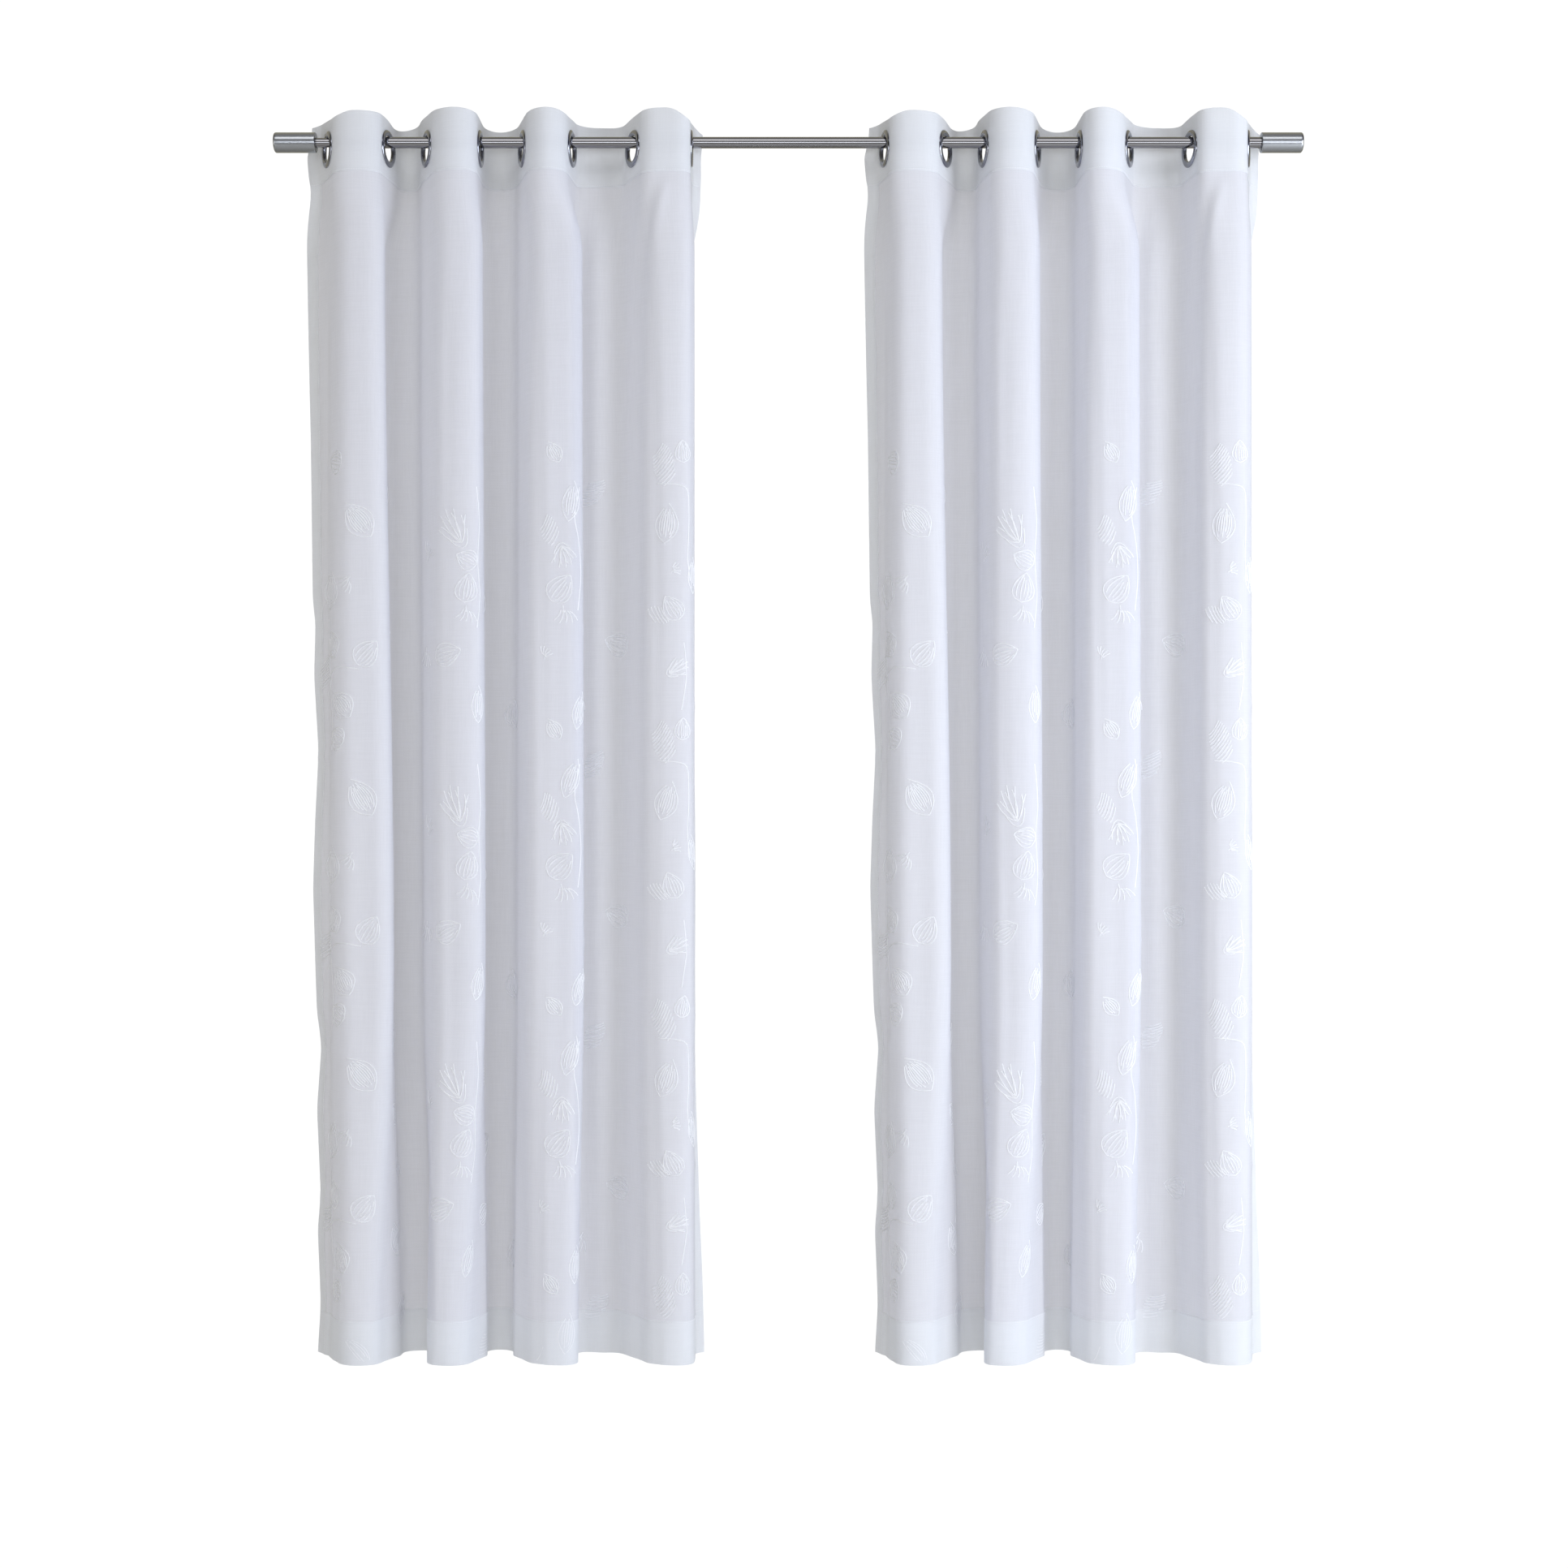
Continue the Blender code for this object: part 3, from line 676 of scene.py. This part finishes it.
def leaf_lines(length, width):
    """An outline, open by the tip, and long veins that follow it."""
    t = np.linspace(0.0, 1.0, 15)
    swell = np.sin(math.pi * t ** 0.85) * width / 2
    lines = [np.stack((swell, length * t), axis=1), np.stack((-swell, length * t), axis=1)[:-2]]
    veins = round(width / LINE_GAP)
    for k in range(veins):
        share = 0.76 - 1.52 * (k + 0.35) / veins
        inner = slice(2 + k % 3, 13 - (k + 1) % 3)
        lines.append(np.stack((swell * share, length * t), axis=1)[inner])
    return lines


def bud_lines(length, width):
    """A closed round outline, with lines that meet at its base."""
    t = np.linspace(0.0, 1.0, 13)
    swell = np.sin(math.pi * t ** 0.7) ** 0.8 * width / 2
    lines = [np.stack((swell, length * t), axis=1), np.stack((-swell, length * t), axis=1)]
    for share, inner in ((0.7, slice(2, 11)), (0.42, slice(1, 9)), (0.12, slice(2, 10)),
                         (-0.2, slice(1, 11)), (-0.62, slice(2, 12))):
        lines.append(np.stack((swell * share, length * t), axis=1)[inner])
    return lines


def flower_lines(length, width):
    """Petals' lines spread from a cup, long and short by turns."""
    t = np.linspace(0.0, 1.0, 9)
    lines = []
    for k in range(9):
        spread = (k - 4) / 4 * width / 2
        reach = length * (1.0 - 0.02 * (k - 4) ** 2 - 0.12 * (k % 2))
        bend = 0.05 * width * np.sin(math.pi * t) * (1 if k % 2 else -1)
        lines.append(np.stack((spread * t ** 0.65 + bend, reach * (0.22 + 0.78 * t)), axis=1))
    cup = np.linspace(-1.0, 1.0, 11)
    lines.append(np.stack((cup * width * 0.34, length * (0.03 + 0.36 * cup ** 2)), axis=1))
    return lines


def sprig_lines(length, width):
    """Five short strokes that open out from a bent stem."""
    t = np.linspace(0.0, 1.0, 6)
    lines = []
    for k in range(5):
        way = math.radians(-38 + 19 * k)
        foot = (width * 0.10 * (k - 2), length * (0.34 - 0.05 * k))
        size = length * (0.52 + 0.05 * (k % 2))
        bent = way + 0.35 * t
        lines.append(np.stack(
            (foot[0] + size * t * np.sin(bent), foot[1] + size * t * np.cos(bent)), axis=1
        ))
    lines.append(np.stack((0.08 * width * np.sin(2 * t), length * 0.3 * t), axis=1))
    return lines


def comb_lines(length, width):
    """A feathered leaf: long strokes side by side, all bent the same way."""
    t = np.linspace(0.0, 1.0, 8)
    strokes = round(length / LINE_GAP)
    lines = []
    for k in range(strokes):
        size = width * (0.55 + 0.45 * math.sin(math.pi * (k + 1) / (strokes + 1)))
        foot = length * k / strokes
        lines.append(np.stack((size * (t - 0.5), foot + 0.5 * size * t ** 1.5), axis=1))
    return lines


MOTIF_LINES = {
    "leaf": leaf_lines, "bud": bud_lines, "flower": flower_lines, "sprig": sprig_lines,
    "comb": comb_lines,
}


def stitched_lines():
    """Every line of the design, as mm across and down."""
    lines = []
    for step in range(-1, 4):
        for number, motif in enumerate(TRAILS):
            sway = MOTIF_SWAY * math.sin(2.3 * number + 1.9 * step)
            turn = math.radians(motif.tilt + sway)
            for line in MOTIF_LINES[motif.kind](motif.length, motif.width):
                line = line - (0.0, motif.length / 2)
                across = line[:, 0] * math.cos(turn) + line[:, 1] * math.sin(turn)
                up = line[:, 1] * math.cos(turn) - line[:, 0] * math.sin(turn)
                lines.append(np.stack(
                    (motif.across + across, motif.down + REPEAT * step - up), axis=1
                ))
        for stem in STEMS:
            knots = np.array(stem, float)
            t = np.linspace(0, len(knots) - 1, 10 * len(knots))
            line = np.stack([np.interp(t, np.arange(len(knots)), knots[:, i]) for i in (0, 1)], 1)
            for _ in range(STEM_SMOOTHINGS):
                line[1:-1] = (line[:-2] + 2 * line[1:-1] + line[2:]) / 4
            lines.append(line + (0, REPEAT * step))
    return [
        line for line in lines if line[:, 1].min() > TRAILS_BEGIN and line[:, 1].max() < TRAILS_END
    ]


def sewn_thread(name, side, lines, width, thick, spacing, material):
    """Thread along lines on the cloth, given as mm across and down, as flat as it is worked."""
    # Its section, in shares of its width and thickness.
    rim = ((-0.5, 0.0), (-0.28, 0.55), (0.28, 0.55), (0.5, 0.0), (0.28, -0.45), (-0.28, -0.45))
    bm = bmesh.new()
    for line in lines:
        lengths = np.concatenate(((0.0,), np.cumsum(np.linalg.norm(np.diff(line, axis=0), axis=1))))
        even = np.linspace(0.0, lengths[-1], max(2, round(lengths[-1] / spacing) + 1))
        across, down = (np.interp(even, lengths, line[:, axis]) / 1000 for axis in (0, 1))
        spots = on_cloth(side, across, PANEL_TOP_EDGE - down)
        outward = on_cloth(side, across, PANEL_TOP_EDGE - down, 1.0) - spots
        beside = np.cross(outward, np.gradient(spots, axis=0))
        beside /= np.linalg.norm(beside, axis=1, keepdims=True)
        rings = [
            [bm.verts.new(spot + beside[i] * width * a + outward[i] * thick * b) for a, b in rim]
            for i, spot in enumerate(spots)
        ]
        for ring, following in zip(rings, rings[1:]):
            for k in range(len(rim)):
                bm.faces.new((ring[k - 1], ring[k], following[k], following[k - 1]))
        bm.faces.new(rings[0])
        bm.faces.new(rings[-1])
    bmesh.ops.recalc_face_normals(bm, faces=bm.faces)
    return metal_piece(name, bm, material, crisp=80)


# Spun viscose is smooth, so its lines have a soft gloss and are a touch whiter than the cloth.
thread_white = new_material("White viscose thread")
twist = add_node(
    thread_white, "ShaderNodeTexNoise",
    {"Vector": add_node(thread_white, "ShaderNodeTexCoord").outputs["Object"], "Scale": 900.0,
     "Detail": 1.0},
)
twist_bump = add_node(
    thread_white, "ShaderNodeBump",
    {"Height": twist.outputs["Fac"], "Strength": 0.3, "Distance": 0.0003},
)
thread_face = add_node(
    thread_white, "ShaderNodeBsdfPrincipled",
    {"Base Color": srgb("#F8F9FD"), "Roughness": 0.45, "Specular IOR Level": 0.5,
     "Sheen Weight": 0.2, "Normal": twist_bump.outputs["Normal"]},
)
thread_glow = add_node(thread_white, "ShaderNodeBsdfTranslucent", {"Color": srgb("#F8F9FD")})
thread_body = add_node(
    thread_white, "ShaderNodeMixShader",
    {"Fac": 0.18, 1: thread_face.outputs[0], 2: thread_glow.outputs[0]},
)
add_node(thread_white, "ShaderNodeOutputMaterial", {"Surface": thread_body.outputs[0]})

design = stitched_lines()
for side in PANEL_CENTRES:
    worked = sewn_thread(
        f"{side}_embroidery", side, design, STROKE, STROKE_HEIGHT, STROKE_STEP, thread_white
    )
    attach(worked, "curtains_and_outer_rod")

# ---- Seams --------------------------------------------------------------------------------------
# Lockstitch in white polyester thread, just inside each hem's and the heading's turned edge. The
# real stitch is 2.5 mm long; here it is one every 4 mm, and thick, so that it shows on both faces.
STITCH, STITCH_GAP = 2.9, 1.1
HEM_THREAD = (0.0009, 0.0016)  # its width and thickness
HEADING_THREAD = (0.0012, 0.0018)
THREAD_STEP = 9.0  # mm; longer than a stitch, so each is straight
SEAM_END = 3  # mm from a seam's end to the cloth's edge
SEAM_CORNER = 6  # mm that a side seam begins below the heading's


def dashes(start, end):
    """Stitches from one point to the other, in mm across and down."""
    start, end = np.array(start, float), np.array(end, float)
    length = np.linalg.norm(end - start)
    way = (end - start) / length
    firsts = np.arange(0.0, length - STITCH, STITCH + STITCH_GAP)
    return [np.stack((start + way * a, start + way * (a + STITCH))) for a in firsts]


width, depth = PANEL_WIDTH * 1000, PANEL_LENGTH * 1000
heading_seam = HEADING_DEPTH * 1000 - 3
hem_seam = depth - BOTTOM_HEM * 1000 + 2
side_seam = SIDE_HEM * 1000 - 2
side_seams = heading_seam + SEAM_CORNER, depth - SEAM_END
panel_seams = dashes((SEAM_END, hem_seam), (width - SEAM_END, hem_seam))
for across in (side_seam, width - side_seam):
    panel_seams += dashes(*((across, down) for down in side_seams))
heading_seams = dashes((SEAM_END, heading_seam), (width - SEAM_END, heading_seam))
panel_stitches, heading_stitches = {}, {}
for side in PANEL_CENTRES:
    panel_stitches[side] = sewn_thread(
        f"{side}_hem_stitches", side, panel_seams, *HEM_THREAD, THREAD_STEP, thread_white
    )
    heading_stitches[side] = sewn_thread(
        f"{side}_heading_stitches", side, heading_seams, *HEADING_THREAD, THREAD_STEP, thread_white
    )
    for stitches in (panel_stitches[side], heading_stitches[side]):
        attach(stitches, "curtains_and_outer_rod")

# ---- Rod tubes ----------------------------------------------------------------------------------
# A 19 mm tube, with a 16 mm tube that slides in its left end to set the rod's length. Both are
# drawn steel, chromed and polished, so they show the room as long thin lines.
OUTER_BORE = 0.01665
INNER_BORE = 0.0139
TUBE_EASE = 0.0004  # how far a cut end is eased
TUBE_STEPS = 96

def grained_metal(name, colour, grain, detail, unevenness, gloss, relief):
    """A metal with the fine marks of how it was worked, so many a metre along X, Y and Z."""
    metal = new_material(name)
    marks = add_node(
        metal, "ShaderNodeMapping",
        {"Vector": add_node(metal, "ShaderNodeTexCoord").outputs["Object"], "Scale": grain},
    )
    noise = add_node(
        metal, "ShaderNodeTexNoise",
        {"Vector": marks.outputs["Vector"], "Scale": 1.0, "Detail": detail,
         "Roughness": unevenness},
    ).outputs["Fac"]
    rough = add_node(
        metal, "ShaderNodeMapRange", {"Value": noise, "To Min": gloss[0], "To Max": gloss[1]}
    )
    bump = add_node(
        metal, "ShaderNodeBump", {"Height": noise, "Strength": relief, "Distance": 0.0002}
    )
    face = add_node(
        metal, "ShaderNodeBsdfPrincipled",
        {"Base Color": srgb(colour), "Metallic": 1.0, "Roughness": rough.outputs[0],
         "Normal": bump.outputs["Normal"]},
    )
    add_node(metal, "ShaderNodeOutputMaterial", {"Surface": face.outputs[0]})
    return metal


polished_tube = grained_metal(
    "Polished chromed steel", "#959497", (4.0, 700.0, 700.0), 2.0, 0.5, (0.05, 0.12), 0.04
)


def tube_bmesh(node, outer, bore):
    """A tube as long as its node, with its cut ends eased."""
    low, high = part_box(node)
    ease = TUBE_EASE
    profile = [
        (low.x, outer / 2 - ease), (low.x + ease * 0.3, outer / 2 - ease * 0.3),
        (low.x + ease, outer / 2), (low.x + 4 * ease, outer / 2),
        (high.x - 4 * ease, outer / 2), (high.x - ease, outer / 2),
        (high.x - ease * 0.3, outer / 2 - ease * 0.3), (high.x, outer / 2 - ease),
        (high.x, bore / 2), (low.x, bore / 2),
    ]
    return spun(profile, True, TUBE_STEPS)


for node, outer, bore, body in (
    ("rod_outer_tube", OUTER_TUBE, OUTER_BORE, "curtains_and_outer_rod"),
    ("rod_inner_tube", INNER_TUBE, INNER_BORE, "inner_rod"),
):
    bm = tube_bmesh(node, outer, bore)
    tube = metal_piece(node.replace("rod_", "polished_"), bm, polished_tube)
    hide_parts(node)
    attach(tube, body)

# ---- Finials ------------------------------------------------------------------------------------
# A plain cylinder capping each end, turned from aluminium, plated in nickel and brushed round its
# axis. The brushing leaves fine rings, and spreads each highlight along the length.
FINIAL_LENGTH = 0.0715
FINIAL_RADIUS = 0.017
FINIAL_ROUND = 0.0035
SOCKET_DEPTH = 0.030

BRUSHING = 0.0006  # from one fine ring to the next
brushed_nickel = grained_metal(
    "Brushed nickel plate", "#AAADB2", (1 / BRUSHING, 40.0, 40.0), 3.0, 0.6, (0.20, 0.30), 0.05
)

for side, tube, body in ((-1, INNER_TUBE, "inner_rod"), (1, OUTER_TUBE, "curtains_and_outer_rod")):
    node = "left_finial" if side < 0 else "right_finial"
    low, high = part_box(node)
    foot = high.x if side < 0 else low.x
    corner = [
        (
            FINIAL_LENGTH - FINIAL_ROUND * (1 - math.cos(angle)),
            FINIAL_RADIUS - FINIAL_ROUND * (1 - math.sin(angle)),
        )
        for angle in np.linspace(0.0, math.pi / 2, 9)
    ]
    profile = [  # (distance from its foot, radius): the rounded end, the eased foot, the socket
        (FINIAL_LENGTH, 0.0), *corner, (FINIAL_LENGTH - 2 * FINIAL_ROUND, FINIAL_RADIUS),
        (0.0025, FINIAL_RADIUS), (0.0008, FINIAL_RADIUS), (0.0003, FINIAL_RADIUS - 0.0002),
        (0.0, FINIAL_RADIUS - 0.0008), (0.0, tube / 2 + CLEARANCE),
        (SOCKET_DEPTH, tube / 2 + CLEARANCE), (SOCKET_DEPTH, 0.0),
    ]
    bm = spun([(foot + side * along, radius) for along, radius in profile], False, TUBE_STEPS)
    finial = metal_piece(f"brushed_{node}", bm, brushed_nickel)
    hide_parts(node)
    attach(finial, body)

# ---- Room ---------------------------------------------------------------------------------------
# A pale floor just below the hems and a white room. Most light comes softly from the front right,
# so each fold is bright on its crest and shaded on its left flank and in the valley behind it.
FLOOR_HALF = 3.4
FLOOR_BELOW = 0.09  # from the hems down to it
SEEN_WHITE = 1.05  # the white of the floor and room where they are looked at

floor_mesh = bpy.data.meshes.new("floor")
bm = bmesh.new()
bmesh.ops.create_grid(bm, x_segments=1, y_segments=1, size=FLOOR_HALF)
bmesh.ops.translate(bm, verts=bm.verts, vec=(0.0, 0.0, PANEL_BOTTOM - FLOOR_BELOW))
bm.to_mesh(floor_mesh)
bm.free()
floor = bpy.data.objects.new("floor", floor_mesh)
bpy.context.scene.collection.objects.link(floor)
pale_floor = new_material("Pale matt floor")
# It lights the cloth as a pale floor does, and is the room's white where it is looked at.
floor_face = add_node(
    pale_floor, "ShaderNodeBsdfPrincipled",
    {"Base Color": srgb("#DADADA"), "Roughness": 0.9, "Specular IOR Level": 0.1},
)
floor_white = add_node(
    pale_floor, "ShaderNodeEmission", {"Color": srgb("#FFFFFF"), "Strength": SEEN_WHITE}
)
looked_at = add_node(pale_floor, "ShaderNodeLightPath").outputs["Is Camera Ray"]
floor_seen = add_node(
    pale_floor, "ShaderNodeMixShader",
    {"Fac": looked_at, 1: floor_face.outputs[0], 2: floor_white.outputs[0]},
)
add_node(pale_floor, "ShaderNodeOutputMaterial", {"Surface": floor_seen.outputs[0]})
floor_mesh.materials.append(pale_floor)

# What the metal mirrors lies before it in a narrow banded strip, as in a studio: a strip light
# high up and a dim front wall, with the long front light below. The sides are dark but for the
# soft lights, and a warm white wall stands behind the cloth.
room = bpy.data.worlds.new("White room")
room.use_nodes = True
room.node_tree.nodes.clear()
way = add_node(room, "ShaderNodeTexCoord").outputs["Generated"]
way = add_node(room, "ShaderNodeSeparateXYZ", {"Vector": way})
fore = add_node(room, "ShaderNodeMath", {0: way.outputs["Y"], 1: -1.0}, operation="MULTIPLY")
rise = add_node(
    room, "ShaderNodeMath", {0: way.outputs["Z"], 1: fore.outputs[0]}, operation="ARCTAN2"
)
# Degrees up from the front of the room, over the ceiling to the back, and how bright it is there.
BANDS = (
    (-180, 0.30), (-40, 0.30), (-5, 0.35), (22, 0.38), (28, 0.45), (31, 3.20), (44, 3.20),
    (47, 0.60), (58, 0.60), (68, 0.30), (88, 0.38), (100, 0.80), (140, 0.50), (170, 0.35),
)
BRIGHTEST = 3.2
# How bright it is across the room, by the sideways part of the way looked in. The bands fill its
# middle, from one edge to the other of BANDS_ACROSS.
DARK, BRIGHT, BLUISH = (0.02,) * 3, (1.0,) * 3, (0.02, 0.02, 0.08)
ACROSS = ((-0.34, DARK), (-0.26, BRIGHT), (0.26, BRIGHT), (0.34, DARK), (0.45, BLUISH))
BANDS_ACROSS = ((-0.34, 0), (-0.30, 1), (0.30, 1), (0.34, 0))

turned = add_node(
    room, "ShaderNodeMapRange",
    {"Value": rise.outputs[0], "From Min": -math.pi, "From Max": math.pi},
)
sideways = add_node(room, "ShaderNodeMapRange", {"Value": way.outputs["X"], "From Min": -1.0})
ramps = []
for along, stops in (
    (turned, [((d + 180) / 360, (level / BRIGHTEST,) * 3) for d, level in BANDS]),
    (sideways, [((x + 1) / 2, colour) for x, colour in ACROSS]),
    (sideways, [((x + 1) / 2, (level,) * 3) for x, level in BANDS_ACROSS]),
):
    ramp = add_node(room, "ShaderNodeValToRGB", {"Fac": along.outputs[0]})
    while len(ramp.color_ramp.elements) < len(stops):
        ramp.color_ramp.elements.new(1.0)
    for element, (place, _) in zip(ramp.color_ramp.elements, stops):
        element.position = place
    for element, (_, colour) in zip(ramp.color_ramp.elements, stops):
        element.color = (*colour, 1.0)
    ramps.append(ramp.outputs["Color"])
bands, across_room, banded = ramps
bands = add_node(
    room, "ShaderNodeMix", {0: banded, 6: (1 / BRIGHTEST,) * 3 + (1.0,), 7: bands},
    data_type="RGBA",
).outputs[2]
front = add_node(
    room, "ShaderNodeMix", {0: 1.0, 6: bands, 7: across_room},
    data_type="RGBA", blend_type="MULTIPLY",
)
WARM_WALL = (0.468, 0.437, 0.335)
behind = add_node(
    room, "ShaderNodeMapRange", {"Value": way.outputs["Y"], "From Min": -0.15, "From Max": 0.15},
)
glow = add_node(
    room, "ShaderNodeMix",
    {0: behind.outputs[0], 6: front.outputs[2],
     7: (*(level / BRIGHTEST for level in WARM_WALL), 1.0)},
    data_type="RGBA",
)
lit = add_node(room, "ShaderNodeBackground", {"Color": glow.outputs[2], "Strength": BRIGHTEST})
plain = add_node(room, "ShaderNodeBackground", {"Color": srgb("#FFFFFF"), "Strength": SEEN_WHITE})
watched = add_node(room, "ShaderNodeLightPath").outputs["Is Camera Ray"]
mixed = add_node(
    room, "ShaderNodeMixShader", {"Fac": watched, 1: lit.outputs[0], 2: plain.outputs[0]}
)
add_node(room, "ShaderNodeOutputWorld", {"Surface": mixed.outputs[0]})
bpy.context.scene.world = room


def soft_light(name, spot, aim, size, watts, colour):
    light = bpy.data.lights.new(name, "AREA")
    light.shape = "RECTANGLE"
    light.size, light.size_y = size
    light.energy = watts
    light.color = srgb(colour)[:3]
    lamp = bpy.data.objects.new(name, light)
    bpy.context.scene.collection.objects.link(lamp)
    lamp.location = spot
    lamp.rotation_euler = (Vector(aim) - Vector(spot)).to_track_quat("-Z", "Y").to_euler()


soft_light("key", (2.7, -2.4, -0.85), (0.0, 0.0, -1.1), (1.6, 2.5), 84, "#F5F9FF")
soft_light("side", (3.4, -1.3, -0.85), (0.0, 0.0, -1.1), (1.6, 2.5), 25, "#E8F7FF")
soft_light("front", (0.2, -3.4, -0.62), (0.2, 0.0, -0.62), (3.8, 0.6), 28, "#F5F9FF")
soft_light("left", (-2.9, -2.3, -0.8), (0.0, 0.0, -1.1), (1.6, 2.5), 26, "#FFFEFC")

# The camera looks level from a little below the panels' middle, shifted up to take in the rod.
PHOTO_SIDE = 1932  # pixels, wide and high
FOCAL_LENGTH = 2717  # pixels
LEVEL_ROW = 1051  # pixels down to what stands as high as the camera
view = bpy.data.cameras.new("view")
view.sensor_width = 36.0
view.lens = 36.0 * FOCAL_LENGTH / PHOTO_SIDE
view.shift_y = (LEVEL_ROW - PHOTO_SIDE / 2) / PHOTO_SIDE
camera = bpy.data.objects.new("view", view)
camera.location = (-0.0076, -3.8, -1.224)
camera.rotation_euler = (math.pi / 2, 0.0, 0.0)
bpy.context.scene.collection.objects.link(camera)
bpy.context.scene.camera = camera
bpy.context.scene.view_settings.view_transform = "Standard"
